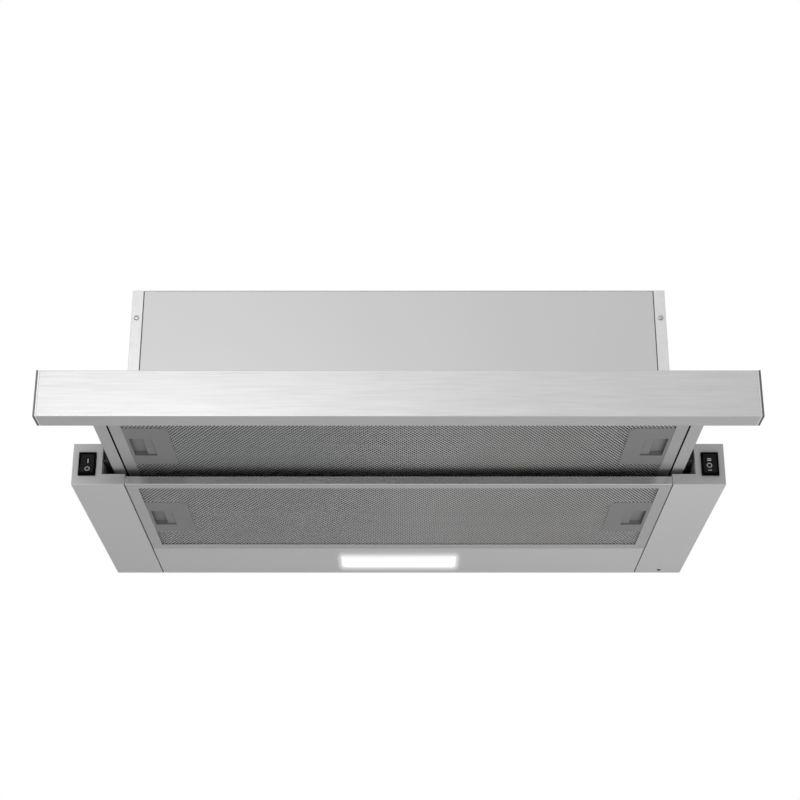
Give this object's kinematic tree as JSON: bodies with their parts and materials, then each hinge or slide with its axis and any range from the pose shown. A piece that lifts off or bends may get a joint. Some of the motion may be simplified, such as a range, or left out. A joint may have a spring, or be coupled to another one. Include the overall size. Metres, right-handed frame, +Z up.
{
  "type": "pull out range hood",
  "caption": "Slim pull out range hood with a brushed fascia drawer, grease filter cassettes, lamp, rocker switches and a double inlet blower in a steel casing.",
  "frame": {"origin": "centre of the four cabinet fixing holes, on the top plane of the base", "axes": "+X to the right seen from the front, +Y back to the wall, +Z up"},
  "size_m": [0.598, 0.4553, 0.248],
  "materials": {
    "brushed_fascia": "horizontal brushed grain, satin",
    "casing_steel": "smooth light grey coil coating",
    "galvanised": "galvanised sheet with fine spangle",
    "base_steel": "fine silver grey coating",
    "drawer_steel": "fine silver grey coating",
    "cap_grey": "satin moulded plastic",
    "filter_aluminium": "satin folded aluminium strip",
    "filter_mesh": "layers of expanded aluminium mesh",
    "latch_grey": "grey moulded plastic",
    "slide_steel": "bright zinc plated",
    "retainer_brass": "pressed strip",
    "screw_steel": "zinc plated",
    "diffuser": "opal diffuser, lit",
    "board_white": "white solder mask",
    "white_plastic": "plain moulding",
    "black_plastic": "black moulded plastic",
    "motor_grey": "dark grey painted can",
    "fan_plastic": "dark grey moulding",
    "capacitor_shell": "plain shell",
    "charcoal_black": "black grille over charcoal granules"
  },
  "bodies": {
    "hood": {"casing_front_panel": "casing_steel", "casing_left_side": "galvanised", "casing_right_side": "galvanised", "casing_top_panel": "galvanised", "casing_back_panel": "galvanised", "casing_screws": "screw_steel", "left_side_channel": "base_steel", "right_side_channel": "base_steel", "light_panel": "base_steel", "light_diffuser": "diffuser", "lamp_board": "board_white", "lamp_driver": "white_plastic", "light_switch_body": "black_plastic", "fan_switch_body": "black_plastic", "outer_slide_left": "slide_steel", "outer_slide_right": "slide_steel", "base_filter_frame": "filter_aluminium", "base_filter_mesh": "filter_mesh", "base_latch_plates": "latch_grey", "base_latch_springs": "screw_steel", "blower_scroll": "galvanised", "blower_end_left": "galvanised", "blower_end_right": "galvanised", "inlet_guard_left": "black_plastic", "inlet_guard_right": "black_plastic", "motor": "motor_grey", "run_capacitor": "capacitor_shell", "terminal_box": "white_plastic", "cable_gland": "black_plastic", "outlet_collar": "galvanised", "flap_pin": "screw_steel"},
    "drawer": {"inner_slide_left": "slide_steel", "inner_slide_right": "slide_steel", "fascia_panel": "brushed_fascia", "fascia_cap_left": "cap_grey", "fascia_cap_right": "cap_grey", "drawer_screws": "screw_steel", "drawer_rail_left": "drawer_steel", "drawer_rail_right": "drawer_steel", "drawer_top_cover": "drawer_steel", "drawer_rear_bar": "drawer_steel", "drawer_filter_frame": "filter_aluminium", "drawer_filter_mesh": "filter_mesh", "drawer_latch_plates": "latch_grey", "drawer_latch_springs": "screw_steel"},
    "left_balls": {"ball_retainer_left": "retainer_brass"},
    "right_balls": {"ball_retainer_right": "retainer_brass"},
    "light_button": {"light_rocker": "black_plastic"},
    "fan_button": {"fan_rocker": "black_plastic"},
    "fan": {"impeller": "fan_plastic", "motor_shaft": "slide_steel"},
    "front_flap": {"flap_front": "galvanised"},
    "rear_flap": {"flap_rear": "galvanised"},
    "base_left_latch": {"base_latch_left": "latch_grey"},
    "base_right_latch": {"base_latch_right": "latch_grey"},
    "drawer_left_latch": {"drawer_latch_left": "latch_grey"},
    "drawer_right_latch": {"drawer_latch_right": "latch_grey"},
    "left_charcoal": {"charcoal_filter_left": "charcoal_black"},
    "right_charcoal": {"charcoal_filter_right": "charcoal_black"}
  },
  "joints": [
    {"name": "drawer_slide", "type": "slide", "parent": "hood", "child": "drawer", "axis": [0, 1, 0], "range_m": [0, 0.1535]},
    {"name": "left_balls_slide", "type": "slide", "parent": "hood", "child": "left_balls", "axis": [0, 1, 0], "range_m": [0, 0.077]},
    {"name": "right_balls_slide", "type": "slide", "parent": "hood", "child": "right_balls", "axis": [0, 1, 0], "range_m": [0, 0.077]},
    {"name": "light_switch_tilt", "type": "hinge", "parent": "hood", "child": "light_button", "pos_m": [-0.2852, -0.14, -0.0202], "axis": [1, 0, 0], "range_deg": [0, 20]},
    {"name": "fan_switch_tilt", "type": "hinge", "parent": "hood", "child": "fan_button", "pos_m": [0.2852, -0.14, -0.0202], "axis": [1, 0, 0], "range_deg": [-10, 10]},
    {"name": "impeller_spin", "type": "hinge", "parent": "hood", "child": "fan", "pos_m": [0, -0.01273, 0.08156], "axis": [1, 0, 0], "continuous": true},
    {"name": "front_flap_lift", "type": "hinge", "parent": "hood", "child": "front_flap", "pos_m": [0, 0.02, 0.174], "axis": [-1, 0, 0], "range_deg": [0, 75]},
    {"name": "rear_flap_lift", "type": "hinge", "parent": "hood", "child": "rear_flap", "pos_m": [0, 0.02, 0.174], "axis": [1, 0, 0], "range_deg": [0, 75]},
    {"name": "base_left_latch_pull", "type": "slide", "parent": "hood", "child": "base_left_latch", "axis": [1, 0, 0], "range_m": [0, 0.006], "stiffness_N_per_m": 300, "springref_m": -0.004, "deforming": ["base_latch_springs"]},
    {"name": "base_right_latch_pull", "type": "slide", "parent": "hood", "child": "base_right_latch", "axis": [-1, 0, 0], "range_m": [0, 0.006], "stiffness_N_per_m": 300, "springref_m": -0.004, "deforming": ["base_latch_springs"]},
    {"name": "drawer_left_latch_pull", "type": "slide", "parent": "drawer", "child": "drawer_left_latch", "axis": [1, 0, 0], "range_m": [0, 0.006], "stiffness_N_per_m": 300, "springref_m": -0.004, "deforming": ["drawer_latch_springs"]},
    {"name": "drawer_right_latch_pull", "type": "slide", "parent": "drawer", "child": "drawer_right_latch", "axis": [-1, 0, 0], "range_m": [0, 0.006], "stiffness_N_per_m": 300, "springref_m": -0.004, "deforming": ["drawer_latch_springs"]},
    {"name": "left_charcoal_twist", "type": "hinge", "parent": "hood", "child": "left_charcoal", "pos_m": [-0.1135, -0.01273, 0.08156], "axis": [-1, 0, 0], "range_deg": [0, 30]},
    {"name": "right_charcoal_twist", "type": "hinge", "parent": "hood", "child": "right_charcoal", "pos_m": [0.1135, -0.01273, 0.08156], "axis": [-1, 0, 0], "range_deg": [0, 30]}
  ],
  "couplings": [
    {"joint": "left_balls_slide", "follows": "drawer_slide", "ratio": 0.5},
    {"joint": "right_balls_slide", "follows": "drawer_slide", "ratio": 0.5}
  ]
}
